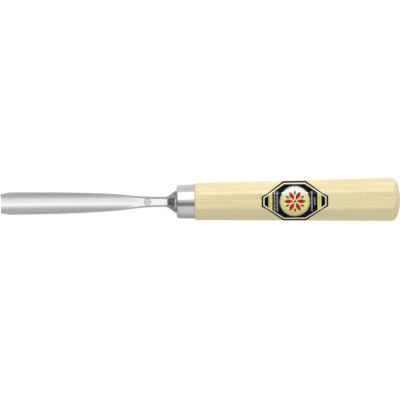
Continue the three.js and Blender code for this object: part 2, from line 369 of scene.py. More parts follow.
def turned_tree():
    """A profile turned about the axis, then planed to facets. The profile is a mesh whose points
    are (along the axis, 0, radius). Columns crowd at the arrises, where the surface bends."""
    tree, nodes, given = geometry_tree(
        "Turned and planed",
        {
            "Profile": "NodeSocketObject",
            "Rows": "NodeSocketInt",
            "Columns": "NodeSocketInt",
            "Facets": "NodeSocketInt",
            "Facet distance": "NodeSocketFloat",
            "Facet slope": "NodeSocketFloat",
            "Arris": "NodeSocketFloat",
            "Blend": "NodeSocketFloat",
            "Material": "NodeSocketMaterial",
        },
    )
    maths = nodes.maths
    across = maths("ADD", given["Columns"], 1)
    grid = nodes.add(
        "GeometryNodeMeshGrid",
        {"Size X": 1, "Size Y": 1, "Vertices X": given["Rows"], "Vertices Y": across},
    )
    index = nodes.add("GeometryNodeInputIndex").outputs[0]
    row = maths("FLOOR", maths("DIVIDE", maths("ADD", index, 0.5), across))
    column = maths("SUBTRACT", index, maths("MULTIPLY", row, across))
    profile = nodes.add("GeometryNodeObjectInfo", {"Object": given["Profile"]})
    sample = nodes.add(
        "GeometryNodeSampleIndex",
        {
            "Geometry": profile.outputs["Geometry"],
            "Value": nodes.add("GeometryNodeInputPosition").outputs[0],
            "Index": row,
        },
        data_type="FLOAT_VECTOR",
        domain="POINT",
    )
    along, _, turned = nodes.add("ShaderNodeSeparateXYZ", {0: sample.outputs[0]}).outputs

    place = maths("MULTIPLY", maths("DIVIDE", column, given["Columns"]), given["Facets"])
    facet = maths("ROUND", place)
    within = maths("SINE", maths("MULTIPLY", maths("SUBTRACT", place, facet), math.pi))
    half_turn = maths("DIVIDE", math.pi, given["Facets"])
    off_facet = maths("MULTIPLY", within, half_turn)
    turn = maths("ADD", maths("MULTIPLY", facet, maths("MULTIPLY", half_turn, 2)), off_facet)

    distance = maths("MULTIPLY_ADD", along, given["Facet slope"], given["Facet distance"])
    planed = maths("DIVIDE", distance, maths("COSINE", off_facet))
    corner = maths("SUBTRACT", maths("DIVIDE", distance, maths("COSINE", half_turn)), given["Arris"])
    off_arris = maths("SUBTRACT", half_turn, maths("ABSOLUTE", off_facet))
    softened = maths("DIVIDE", corner, maths("COSINE", off_arris))
    octagon = maths("MINIMUM", planed, softened)
    radius = maths("SMOOTH_MIN", turned, octagon, given["Blend"])
    position = nodes.point(
        along,
        maths("MULTIPLY", radius, maths("COSINE", turn)),
        maths("MULTIPLY", radius, maths("SINE", turn)),
    )
    placed = nodes.add(
        "GeometryNodeSetPosition", {"Geometry": grid.outputs["Mesh"], "Position": position}
    )
    end_tree(nodes, placed.outputs[0], given["Material"])
    return tree


def turned_piece(name, profile, values, scene):
    """Runs the turned tree on a profile of (along, radius) points."""
    tree = bpy.data.node_groups.get("Turned and planed") or turned_tree()
    guide_mesh = new_mesh(name + "_profile", [(x, 0, radius) for x, radius in profile])
    guide = add_object(name + "_profile", guide_mesh, scene)
    piece = piece_from_tree(
        name, tree, {"Profile": guide, "Rows": len(profile), **values}, scene
    )
    bpy.data.objects.remove(guide)
    bpy.data.meshes.remove(guide_mesh)
    return piece


def printed_tree():
    """Copies of a flat motif, each stepped and turned from the last, laid on the film and given
    the thickness of ink. The film follows the top facet and, past its arrises, the sloping ones."""
    tree, nodes, given = geometry_tree(
        "Printed row",
        {
            "Motif": "NodeSocketObject",
            "Count": "NodeSocketInt",
            "Start": "NodeSocketVector",
            "Step": "NodeSocketVector",
            "Turn": "NodeSocketFloat",
            "First turn": "NodeSocketFloat",
            "Middle": "NodeSocketVector",
            "Facet distance": "NodeSocketFloat",
            "Facet slope": "NodeSocketFloat",
            "Bend": "NodeSocketFloat",
            "Level": "NodeSocketFloat",
            "Ink": "NodeSocketFloat",
            "Material": "NodeSocketMaterial",
        },
    )
    maths = nodes.maths
    index = nodes.add("GeometryNodeInputIndex").outputs[0]
    stepped = nodes.add(
        "ShaderNodeVectorMath",
        {0: given["Step"], 1: nodes.point(index, index, index), 2: given["Start"]},
        operation="MULTIPLY_ADD",
    )
    points = nodes.add(
        "GeometryNodePoints", {"Count": given["Count"], "Position": stepped.outputs[0]}
    )
    motif = nodes.add("GeometryNodeObjectInfo", {"Object": given["Motif"]})
    turn = maths("MULTIPLY_ADD", index, given["Turn"], given["First turn"])
    copies = nodes.add(
        "GeometryNodeInstanceOnPoints",
        {
            "Points": points.outputs[0],
            "Instance": motif.outputs["Geometry"],
            "Rotation": nodes.point(0, 0, turn),
        },
    )
    flat = nodes.add("GeometryNodeRealizeInstances", {"Geometry": copies.outputs[0]})
    moved = nodes.add(
        "GeometryNodeSetPosition", {"Geometry": flat.outputs[0], "Offset": given["Middle"]}
    )
    place = nodes.add("GeometryNodeInputPosition").outputs[0]
    x, y, _ = nodes.add("ShaderNodeSeparateXYZ", {0: place}).outputs
    wood = maths("MULTIPLY_ADD", x, given["Facet slope"], given["Facet distance"])
    film = maths("ADD", wood, given["Level"])
    half_facet = maths("MULTIPLY", film, FACET_HALF)
    past = maths("SMOOTH_MAX", 0, maths("SUBTRACT", maths("ABSOLUTE", y), half_facet), given["Bend"])
    laid = nodes.add(
        "GeometryNodeSetPosition",
        {"Geometry": moved.outputs[0], "Position": nodes.point(x, y, maths("SUBTRACT", film, past))},
    )
    raised = nodes.add(
        "GeometryNodeExtrudeMesh",
        {"Mesh": laid.outputs[0], "Offset Scale": given["Ink"], "Individual": False},
        mode="FACES",
    )
    under = nodes.add("GeometryNodeFlipFaces", {"Mesh": laid.outputs[0]})
    both = nodes.add("GeometryNodeJoinGeometry")
    for part in (raised, under):
        nodes.tree.links.new(part.outputs[0], both.inputs[0])
    end_tree(nodes, both.outputs[0], given["Material"])
    return tree


# ---- Materials ----


def new_material(name):
    """A material with an empty tree, its node adder and its surface shader."""
    material = bpy.data.materials.new(name)
    material.use_nodes = True
    material.node_tree.nodes.clear()
    nodes = Nodes(material.node_tree)
    shader = nodes.add("ShaderNodeBsdfPrincipled")
    nodes.add("ShaderNodeOutputMaterial", {"Surface": shader.outputs[0]})
    return material, nodes, shader


def on_the_tool(nodes, scene):
    """Object coordinates turned back onto the tool's own axes, in metres."""
    place = tool_place(scene)
    return nodes.add(
        "ShaderNodeMapping",
        {
            "Vector": nodes.add("ShaderNodeTexCoord").outputs["Object"],
            "Location": place.to_translation(),
            "Rotation": place.to_euler(),
        },
        vector_type="TEXTURE",
    ).outputs[0]


def stretched_noise(nodes, vector, scale, detail=3, roughness=0.55):
    """Noise with its own fineness along each axis, in cycles per metre."""
    scaled = nodes.add(
        "ShaderNodeVectorMath", {0: vector, 1: scale}, operation="MULTIPLY"
    ).outputs[0]
    inputs = {"Vector": scaled, "Scale": 1, "Detail": detail, "Roughness": roughness}
    return nodes.add("ShaderNodeTexNoise", inputs).outputs["Fac"]


def ramp(nodes, value, low, high, bottom=0.0, top=1.0):
    """Carries a value from one range smoothly into another."""
    return nodes.add(
        "ShaderNodeMapRange",
        {"Value": value, "From Min": low, "From Max": high, "To Min": bottom, "To Max": top},
        interpolation_type="SMOOTHSTEP",
    ).outputs[0]


def blended(nodes, share, first, second, way="MIX"):
    """Two colours mixed. A colour is three numbers or another node's output."""
    node = nodes.add("ShaderNodeMix", data_type="RGBA", blend_type=way)
    nodes.feed(node.inputs[0], share)
    for socket, value in ((node.inputs[6], first), (node.inputs[7], second)):
        nodes.feed(socket, value if isinstance(value, bpy.types.NodeSocket) else (*value, 1))
    return node.outputs[2]


def bump(nodes, height, strength, distance):
    return nodes.add(
        "ShaderNodeBump", {"Height": height, "Strength": strength, "Distance": distance}
    ).outputs[0]


def ground_steel(scene):
    """Steel ground lengthwise to a satin in the hollow, and polished towards the bolster. The collar and
    the stamp's rings carry painted shade.
    """
    blade = scene.gouge_blade
    material, nodes, shader = new_material("ground_steel")
    where = on_the_tool(nodes, scene)
    lines = stretched_noise(nodes, where, (60, 5200, 5200), detail=4, roughness=0.7)
    broad = stretched_noise(nodes, where, (35, 160, 160), detail=2)
    along = nodes.add("ShaderNodeSeparateXYZ", {0: where}).outputs[0]
    polish = ramp(nodes, along, -26 * MM, -10 * MM)
    satin = ramp(nodes, lines, 0.3, 0.7, 0.34, 0.38)
    worn = nodes.maths("ADD", satin, ramp(nodes, broad, 0.35, 0.65, -0.01, 0.02))
    rough = nodes.maths("MULTIPLY", worn, ramp(nodes, polish, 0, 1, 1, 0.62))
    dull = [0.94 * part for part in blade.steel]
    ground = blended(nodes, lines, dull, blade.steel)
    spots = stretched_noise(nodes, where, (520, 620, 620), detail=4, roughness=0.65)
    spotted = blended(nodes, ramp(nodes, spots, 0.44, 0.68, 0, 0.7), blade.forged, blade.scale)
    forged = blended(nodes, ramp(nodes, along, -7 * MM, -5 * MM), ground, spotted)
    # Painted shade: the collar's steel is darker, so its rim shows as a dim grey line and not a bright
    # reflection.
    collar = ramp(nodes, along, -1.15 * MM, -0.95 * MM)
    forged = blended(nodes, collar, forged, [0.55 * part for part in blade.steel])
    from_stamp = nodes.add(
        "ShaderNodeVectorMath",
        {0: where, 1: (blade.stamp_place - blade.blade_length, 0, blade.shank_width / 2)},
        operation="DISTANCE",
    ).outputs[1]
    # Painted shade: the steel is darkened along the two struck rings, for the shade inside their grooves.
    for radius in (blade.stamp_radius, blade.stamp_radius * INNER_RING):
        off_ring = nodes.maths("ABSOLUTE", nodes.maths("SUBTRACT", from_stamp, radius))
        struck = ramp(nodes, off_ring, 0.08 * MM, 0.3 * MM, 0.75, 0)
        forged = blended(nodes, struck, forged, [0.35 * part for part in blade.steel])
    normal = bump(nodes, lines, 0.06, 0.002 * MM)
    nodes.fill(shader, {"Base Color": forged, "Roughness": rough, "Normal": normal, "Metallic": 1})
    return material


def polished_nickel(scene):
    """Bright plating over fine lines left by the lathe, which run round the ferrule."""
    ferrule = scene.gouge_ferrule
    material, nodes, shader = new_material("polished_nickel")
    where = on_the_tool(nodes, scene)
    lines = stretched_noise(nodes, where, (2800, 25, 25), detail=3, roughness=0.7)
    dull = [0.94 * part for part in ferrule.nickel]
    turned = ramp(nodes, lines, 0.35, 0.6)
    surface = {
        "Base Color": blended(nodes, turned, dull, ferrule.nickel),
        "Roughness": ramp(nodes, lines, 0.3, 0.7, 0.10, 0.19),
        "Normal": bump(nodes, lines, 0.25, 0.006 * MM),
        "Metallic": 1,
    }
    nodes.fill(shader, surface)
    return material


def hornbeam(scene):
    """Pale, even wood: faint growth rings round a pith beside the handle, fibres and fine flecks
    along the grain, under a thin lacquer."""
    handle = scene.gouge_handle
    material, nodes, shader = new_material("hornbeam")
    where = on_the_tool(nodes, scene)
    wander = stretched_noise(nodes, where, (9, 40, 40), detail=2)
    centred = nodes.maths("SUBTRACT", wander, 0.5)
    _, y, z = nodes.add("ShaderNodeSeparateXYZ", {0: where}).outputs
    pith_y, pith_z, ring_width = 38 * MM, 24 * MM, 1.9 * MM
    from_pith_y = nodes.maths("ADD", y, pith_y)
    from_pith_z = nodes.maths("ADD", z, pith_z)
    squares = nodes.maths(
        "MULTIPLY_ADD", from_pith_y, from_pith_y, nodes.maths("MULTIPLY", from_pith_z, from_pith_z)
    )
    from_pith = nodes.maths("SQRT", squares)
    wavy = nodes.maths("MULTIPLY_ADD", centred, 3.5 * MM, from_pith)
    rings = nodes.maths("SINE", nodes.maths("MULTIPLY", wavy, 2 * math.pi / ring_width))
    ring_share = ramp(nodes, rings, -0.4, 1.0, 0, 0.34)
    fibres = stretched_noise(nodes, where, (70, 2600, 2600), detail=4, roughness=0.7)
    fibre_share = ramp(nodes, fibres, 0.36, 0.66, 0, 0.62)
    streaks = stretched_noise(nodes, where, (14, 260, 260), detail=3)
    streak_share = ramp(nodes, streaks, 0.44, 0.62, 0, 0.7)
    flecks = stretched_noise(nodes, where, (260, 3000, 3000), detail=1)
    fleck_share = ramp(nodes, flecks, 0.62, 0.72, 0, 0.6)
    wood = handle.pale_wood
    for share in (ring_share, fibre_share, streak_share):
        wood = blended(nodes, share, wood, handle.warm_wood)
    height = nodes.maths("MULTIPLY_ADD", flecks, -0.6, fibres)
    surface = {
        "Base Color": blended(nodes, fleck_share, wood, handle.fleck),
        "Roughness": ramp(nodes, fibres, 0.3, 0.7, 0.42, 0.56),
        "Normal": bump(nodes, height, 0.35, 0.02 * MM),
        "Coat Weight": 0.14,
        "Coat Roughness": 0.3,
    }
    nodes.fill(shader, surface)
    return material


def printed_ink(name, first, scene, second=None):
    """Glossy print on film: a slightly uneven layer of ink under a clear coat. With a second
    colour the ink shades into it across the label, from the far side to the near side: the
    lighter far side is a painted sheen."""
    material, nodes, shader = new_material(name)
    where = on_the_tool(nodes, scene)
    mottle = stretched_noise(nodes, where, (900, 900, 900), detail=3)
    paint = first
    if second:
        across = nodes.add("ShaderNodeSeparateXYZ", {0: where}).outputs[1]
        # Painted sheen: the first colour holds at the far edge and gives way to the second by the middle
        # line.
        shading_starts = 8.5 * MM
        paint = blended(nodes, ramp(nodes, across, shading_starts, 0), first, second)
    darker = blended(nodes, 1.0, paint, (0.86, 0.86, 0.86), "MULTIPLY")
    surface = {
        "Base Color": blended(nodes, mottle, darker, paint),
        "Roughness": ramp(nodes, mottle, 0.3, 0.7, 0.2, 0.32),
        "Normal": bump(nodes, mottle, 0.08, 0.01 * MM),
        "Coat Weight": 0.07,
        "Coat Roughness": 0.1,
        "Specular IOR Level": 0.02,
    }
    nodes.fill(shader, surface)
    return material


def silver_ink(scene):
    material, nodes, shader = new_material("silver_ink")
    where = on_the_tool(nodes, scene)
    grain = stretched_noise(nodes, where, (6000, 6000, 6000), detail=2)
    silver = tuple(scene.gouge_label.silver)
    dull = [0.8 * part for part in silver]
    surface = {
        "Base Color": blended(nodes, grain, dull, silver),
        "Roughness": ramp(nodes, grain, 0.3, 0.7, 0.28, 0.42),
        "Metallic": 0.3,
    }
    nodes.fill(shader, surface)
    return material


def floor_paper(scene):
    """Pale paper that glows a little, so that it stays white under the tool."""
    material, nodes, shader = new_material("floor_paper")
    where = nodes.add("ShaderNodeTexCoord").outputs["Object"]
    tooth = stretched_noise(nodes, where, (900, 900, 900), detail=3)
    shade = [0.985 * part for part in scene.gouge_stage.floor]
    surface = {
        "Base Color": blended(nodes, tooth, shade, scene.gouge_stage.floor),
        "Roughness": 0.9,
        "Emission Color": (1, 1, 1, 1),
        "Emission Strength": 0.5,
    }
    nodes.fill(shader, surface)
    return material


# ---- Blade ----

ARC_COLUMNS = 40
RIM_COLUMNS = 10
CHAMFER_COLUMNS = 6
BACK_COLUMNS = 32

# Places along the blade, from the cutting edge.
SIDES_LEAVE, SIDES_ARRIVE = 95 * MM, 74 * MM  # handles of the curve that the sides follow
BACK_TURNS_SQUARE = (60 * MM, 100 * MM)
RIM_TURNS_TO_SHANK = (72 * MM, 100 * MM)
HOLLOW_SOFTENS = (55 * MM, 88 * MM)
STAMP_SPAN = (91 * MM, 97 * MM)

SIDES_DRAW_IN = 0.2 * MM
FLARE_WAITS, FLARE_TURNS, FLARE_RISE = 3 * MM, 3.4 * MM, 1 * MM  # handles of the bolster's flare
CRISP, POLISHED = 0.04 * MM, 0.35 * MM  # how far the hollow's edge is rounded
INNER_RING = 0.4  # the stamp's inner ring, as a share of the outer one
GROOVE = 0.28 * MM
GRIND_BLEND = 0.08 * MM
COLLAR_CHAMFER = 0.12 * MM
LATHE_REACH, LATHE_CLEAR = 3 * MM, 14 * MM
TANG_POINT, TANG_NECK, TANG_TIP = 4 * MM, 1.5 * MM, 0.4 * MM


def scaled_to(point, radius):
    reach = math.hypot(*point)
    return point[0] * radius / reach, point[1] * radius / reach


def turned_to(outline, radius):
    """The outline with everything outside a radius turned down to it."""
    shares = [min(1, radius / math.hypot(*point)) for point in outline]
    return [(y * share, z * share) for (y, z), share in zip(outline, shares)]


class BladeShape:
    """The forging as a row of outlines. Places along it are measured from the cutting edge."""

    def __init__(self, blade):
        half, slim = blade.width / 2, blade.shank_width / 2
        self.blade = blade
        self.neck = blade.blade_length - blade.neck
        self.collar = blade.blade_length - blade.collar_thickness
        self.sides = [
            (0, half),
            (SIDES_LEAVE, half - SIDES_DRAW_IN),
            (SIDES_ARRIVE, slim),
            (self.neck, slim),
        ]
        self.flare = [
            (self.neck, slim),
            (self.neck + FLARE_WAITS, slim),
            (self.neck + FLARE_TURNS, slim + FLARE_RISE),
            (self.collar, blade.bolster_width / 2),
        ]

    def section(self, place):
        """Half width, top, bottom, chamfer and squareness, which is 0 for a round back."""
        blade, slim = self.blade, self.blade.shank_width / 2
        if place <= self.neck:
            half = bezier_at(self.sides, place)
            bottom = -mix(blade.back, slim, place / self.neck)
            chamfer = mix(blade.rim, blade.shank_chamfer, smoothstep(place, *RIM_TURNS_TO_SHANK))
            return half, slim, bottom, chamfer, smoothstep(place, *BACK_TURNS_SQUARE)
        half = bezier_at(self.flare, place)
        share = (half - slim) / (blade.bolster_width / 2 - slim)
        octagon = blade.bolster_width / 2 * (1 - FACET_HALF)
        return half, half, -half, mix(blade.shank_chamfer, octagon, share), 1

    def hollow(self, place):
        share = place / self.blade.hollow_length
        return self.blade.hollow_depth * (1 - share**self.blade.runout)

    def top_columns(self, place, inner, top):
        """From the middle of the hollow out to the chamfer: the hollow's arc, then the rim."""
        radius = self.blade.hollow_radius
        depth = self.hollow(place)
        chord = math.sqrt(max(0, radius**2 - (radius - max(0, depth)) ** 2))
        least = 0.7 * inner
        wide = min(max(chord, least), inner)
        across = [wide * i / ARC_COLUMNS for i in range(ARC_COLUMNS)] + spread(wide, inner, RIM_COLUMNS)
        outline = []
        for y in across:
            rise = radius - math.sqrt(radius**2 - min(y, radius) ** 2)
            cut = -smooth_minimum(0, rise - depth, self.softness(place))
            outline.append((y, top - cut - self.stamp(place, y)))
        return outline

    def softness(self, place):
        """How far the hollow's edge is rounded: crisp at the cutting edge, polished away later."""
        return mix(CRISP, POLISHED, smoothstep(place, *HOLLOW_SOFTENS))

    def stamp(self, place, y):
        """How deep the two rings are struck."""
        blade = self.blade
        reach = math.hypot(place - blade.stamp_place, y)
        inner = blade.stamp_radius * INNER_RING
        nearest = min(abs(reach - blade.stamp_radius), abs(reach - inner))
        return blade.stamp_depth * (1 - smoothstep(nearest, GROOVE * 0.3, GROOVE))

    def outline(self, place):
        """(across, up) points from the middle of the top, down one side, to the middle of the back."""
        half, top, bottom, chamfer, squareness = self.section(place)
        inner = half - chamfer
        limit, centre = self.bevel(place)
        rim = math.sqrt(max(0, limit**2 - (centre - top) ** 2))
        points = self.top_columns(place, min(inner, rim), top)
        for i in range(CHAMFER_COLUMNS):
            share = i / CHAMFER_COLUMNS
            points.append((inner + chamfer * share, top - chamfer * share))
        side, corner = BACK_COLUMNS * 3 // 8, BACK_COLUMNS * 5 // 8
        low = bottom + chamfer
        for i in range(BACK_COLUMNS + 1):
            turn = i / BACK_COLUMNS * math.pi / 2
            round_y = half * math.cos(turn)
            round_z = top - chamfer + (bottom - top + chamfer) * math.sin(turn)
            if i <= side:
                square_y, square_z = half, mix(top - chamfer, low, i / side)
            elif i <= corner:
                share = (i - side) / (corner - side)
                square_y, square_z = half - chamfer * share, low - chamfer * share
            else:
                share = (i - corner) / (BACK_COLUMNS - corner)
                square_y, square_z = (half - chamfer) * (1 - share), bottom
            points.append((mix(round_y, square_y, squareness), mix(round_z, square_z, squareness)))
        return [self.inside_bevel(p, limit, centre, top, rim) for p in points]

    def bevel(self, place):
        """The radius of the bevel's cone here, and the height of the hollow's axis at the edge."""
        blade = self.blade
        centre = blade.shank_width / 2 - blade.hollow_depth + blade.hollow_radius
        reach = blade.hollow_radius + blade.edge + place * math.tan(blade.bevel)
        return reach, centre

    def inside_bevel(self, point, limit, centre, top, rim):
        """The point, or where the bevel's cone leaves it. The upper face only stops at the rim."""
        y, z = point
        reach = math.hypot(y, z - centre)
        held = smooth_minimum(reach, limit, GRIND_BLEND) / reach
        ground = (y * held, centre + (z - centre) * held)
        return (min(y, rim), z) if ground[1] > top else ground

    def rows(self):
        """(place, outline) for the whole forging, edge to tang point."""
        blade = self.blade
        stamp_from, stamp_to = STAMP_SPAN
        stations = [0, 8 * MM, 60 * MM, stamp_from, stamp_to, self.neck, self.collar]
        places = []
        for low, high, count in zip(stations, stations[1:], (50, 40, 44, 110, 14, 40)):
            places += spread(low, high, count)
        collar = blade.collar_diameter / 2
        rows = [(place, turned_to(self.outline(place), self.turning(place))) for place in places]
        octagon = self.outline(self.collar)
        rows.append((self.collar, turned_to(octagon, collar)))
        circle = [scaled_to(p, collar) for p in octagon]
        inner = [scaled_to(p, collar - COLLAR_CHAMFER) for p in octagon]
        rows.append((self.collar, inner))
        rows.append((self.collar + COLLAR_CHAMFER, circle))
        rows.append((blade.blade_length - COLLAR_CHAMFER, circle))
        rows.append((blade.blade_length, inner))
        spike = [
            (0, blade.tang_width / 2),
            (blade.tang_length - TANG_POINT, TANG_NECK),
            (blade.tang_length, TANG_TIP),
        ]
        for reach, half in spike:
            square = [(y * half / max(abs(y), abs(z)), z * half / max(abs(y), abs(z))) for y, z in circle]
            rows.append((blade.blade_length + reach, square))
        return rows

    def turning(self, place):
        """The lathe only touches the bolster's corners; before it, this is out of reach."""
        collar = self.blade.collar_diameter / 2
        return collar if place > self.collar - LATHE_REACH else LATHE_CLEAR


class GOUGE_OT_blade(Operator):
    """Forge the blade, shank, bolster and tang as one piece"""

    bl_idname = "gouge.make_blade"
    bl_label = "Blade"

    def execute(self, context):
        scene = context.scene
        shape = BladeShape(scene.gouge_blade)
        vertices, faces = [], []
        for place, half in shape.rows():
            other = [(-y, z) for y, z in half[1:-1]]
            ring = half + other[::-1]
            x = place - scene.gouge_blade.blade_length
            vertices += [(x, y, z) for y, z in ring]
        around = len(ring)
        for start in range(0, len(vertices) - around, around):
            for i in range(around):
                a, b = start + i, start + (i + 1) % around
                faces.append((a, b, b + around, a + around))
        faces.append(tuple(range(around)))
        faces.append(tuple(range(len(vertices) - around, len(vertices))))
        piece = new_piece("forged_blade", vertices, faces, scene)
        close_up(piece.data)
        piece.data.materials.append(ground_steel(scene))
        stands_for(piece, "blade_with_tang")
        return {"FINISHED"}


# ---- Ferrule and handle ----


def round_corner(x, radius, size, steps=8):
    """(along, radius) points of a quarter round, from the wall to the front face."""
    turns = [i / steps * math.pi / 2 for i in range(steps + 1)]
    return [(x + size * (1 - math.sin(t)), radius - size * (1 - math.cos(t))) for t in turns]


class GOUGE_OT_ferrule(Operator):
    """Draw the ferrule as a cup with a hole for the tang"""

    bl_idname = "gouge.make_ferrule"
    bl_label = "Ferrule"

    def execute(self, context):
        scene = context.scene
        ferrule = scene.gouge_ferrule
        front, back = ferrule.seat, ferrule.ferrule_length
        inside, hole, lip = front + ferrule.wall, ferrule.hole_diameter / 2, 0.12 * MM

        def outer(x):
            return mix(ferrule.front_diameter, ferrule.back_diameter, x / back) / 2

        wall = [(x, outer(x)) for x in spread(back - lip, front + ferrule.corner, 24)]
        profile = [
            (front + lip, hole),
            (inside, hole),
            (inside, outer(inside) - ferrule.wall),
            (back, outer(back) - ferrule.wall),
            (back, outer(back) - lip),
            *wall,
            *round_corner(front, outer(front + ferrule.corner), ferrule.corner),
            (front, hole + lip),
            (front + lip, hole),
        ]
        values = {
            "Columns": 192,
            "Facets": FACETS,
            "Facet distance": 1.0,
            "Facet slope": 0.0,
            "Arris": 0.0,
            "Blend": 0.0,
            "Material": polished_nickel(scene),
        }
        piece = turned_piece("ferrule_cup", profile, values, scene)
        close_up(piece.data, crease=35)
        stands_for(piece, "ferrule")
        return {"FINISHED"}


PLANED_AWAY = 15 * MM  # the handle is turned to this radius, outside its facets
DOME_FLAT, DOME_DROP, DOME_SHOULDER = 9.3 * MM, 1.6 * MM, 13 * MM  # handles of the butt's curve
SPIGOT_RADIUS, NOSE_RADIUS, NOSE_FRONT, NOSE_LENGTH = 10 * MM, 9.75 * MM, 8.9 * MM, 0.8 * MM
BORE_MOUTH, BORE_END, BORE_DEPTH = 5.2 * MM, 2 * MM, 46.3 * MM
DOME_ROWS, FACET_ROWS, BEVEL_ROWS = 36, 30, 30


class GOUGE_OT_handle(Operator):
    """Turn the handle's ends and plane its eight facets"""

    bl_idname = "gouge.make_handle"
    bl_label = "Handle"

    def execute(self, context):
        scene = context.scene
        handle, ferrule = scene.gouge_handle, scene.gouge_ferrule
        gap, turned = ferrule.seat, handle.shoulder_radius
        shoulder = ferrule.ferrule_length + gap
        butt = ferrule.ferrule_length + handle.wood_length - handle.sanding
        slope = facet_slope(handle)
        dome_end = butt - handle.dome
        dome = [(butt, 0), (butt, DOME_FLAT), (butt - DOME_DROP, DOME_SHOULDER), (dome_end, PLANED_AWAY)]
        bevel_end = shoulder + PLANED_AWAY - turned
        bevel = [i / BEVEL_ROWS for i in range(BEVEL_ROWS + 1)]
        spigot_front = gap + ferrule.wall + gap
        profile = [
            *[bezier(dome, i / DOME_ROWS) for i in range(DOME_ROWS)],
            *[(x, PLANED_AWAY) for x in spread(dome_end, bevel_end, FACET_ROWS)],
            *[(mix(bevel_end, shoulder, t), mix(PLANED_AWAY, turned, t)) for t in bevel],
            (shoulder, SPIGOT_RADIUS - gap),
            (spigot_front + NOSE_LENGTH, NOSE_RADIUS - gap),
            (spigot_front, NOSE_FRONT),
            (spigot_front, BORE_MOUTH),
            (BORE_DEPTH, BORE_END),
            (BORE_DEPTH, 0),
        ]
        values = {
            "Columns": FACETS * 22,
            "Facets": FACETS,
            "Facet distance": handle.front_width / 2 - slope * ferrule.ferrule_length,
            "Facet slope": slope,
            "Arris": handle.arris,
            "Blend": 0.35 * MM,
            "Material": hornbeam(scene),
        }
        piece = turned_piece("handle_wood", profile, values, scene)
        close_up(piece.data, crease=40)
        stands_for(piece, "handle")
        return {"FINISHED"}


# ---- Label ----


def long_octagon(label, inset):
    """The label's outline seen from above, moved inwards by the same distance on every edge."""
    half_length, half_width = label.label_length / 2, label.width / 2
    half_top, half_end = label.top_length / 2, label.end_width / 2
    run, rise = half_length - half_top, half_width - half_end
    slant = math.hypot(run, rise)
    length_in, width_in = half_length - inset, half_width - inset
    # The slanting edge is rise * x + run * y = reach; moving it in takes inset * slant off.
    reach = rise * half_length + run * half_end - inset * slant
    top_in = (reach - run * width_in) / rise
    end_in = (reach - rise * length_in) / run
    quarter = [(length_in, end_in), (top_in, width_in)]
    ring = quarter + [(-x, y) for x, y in reversed(quarter)]
    return ring + [(-x, -y) for x, y in ring]


def circle(radius, count=96):
    turns = [i / count * 2 * math.pi for i in range(count)]
    return [(radius * math.cos(t), radius * math.sin(t)) for t in turns]


def end_band(label, side, near, far, inset):
    """A band across one end of the field, between two distances from the label's point."""
    outline = long_octagon(label, inset)
    (x0, y0), (x1, y1) = outline[0], outline[1]

    def half_height(x):
        return mix(y0, y1, (x - x0) / (x1 - x0)) if x < x0 else y0

    outer = min(label.label_length / 2 - near, x0)
    inner = label.label_length / 2 - far
    corners = [(outer, half_height(outer)), (inner, half_height(inner))]
    band = [(side * x, y) for x, y in corners] + [(side * x, -y) for x, y in reversed(corners)]
    return band if side > 0 else band[::-1]


class Film:
    """The film's height over the tool's axis, wrapped over the top facet and its neighbours."""

    def __init__(self, scene):
        handle, label = scene.gouge_handle, scene.gouge_label
        self.slope = facet_slope(handle)
        self.distance = handle.front_width / 2 - self.slope * scene.gouge_ferrule.ferrule_length
        self.middle = label.middle
        self.bend = label.bend

    def top(self, x, level):
        return self.distance + self.slope * (self.middle + x) + level

    def height(self, x, y, level):
        past_arris = smooth_minimum(0, self.arris(x, level) - abs(y), self.bend)
        return self.top(x, level) + past_arris

    def arris(self, x, level):
        return self.top(x, level) * FACET_HALF


BLACK, CREAM, YELLOW, SILVER, DISC = range(5)  # the film's material slots
CREAM_FROM, FIELD_FROM = 1.1 * MM, 1.85 * MM
BAND_FROM, BAND_TO = 4.4 * MM, 6.8 * MM
FOLD_STEPS = 4  # lines each side of an arris, where the film bends
FOLD_REACH, FOLD_SLANT, FOLD_ENDS = 18.2 * MM, 1.5, (-0.96, 0.94)


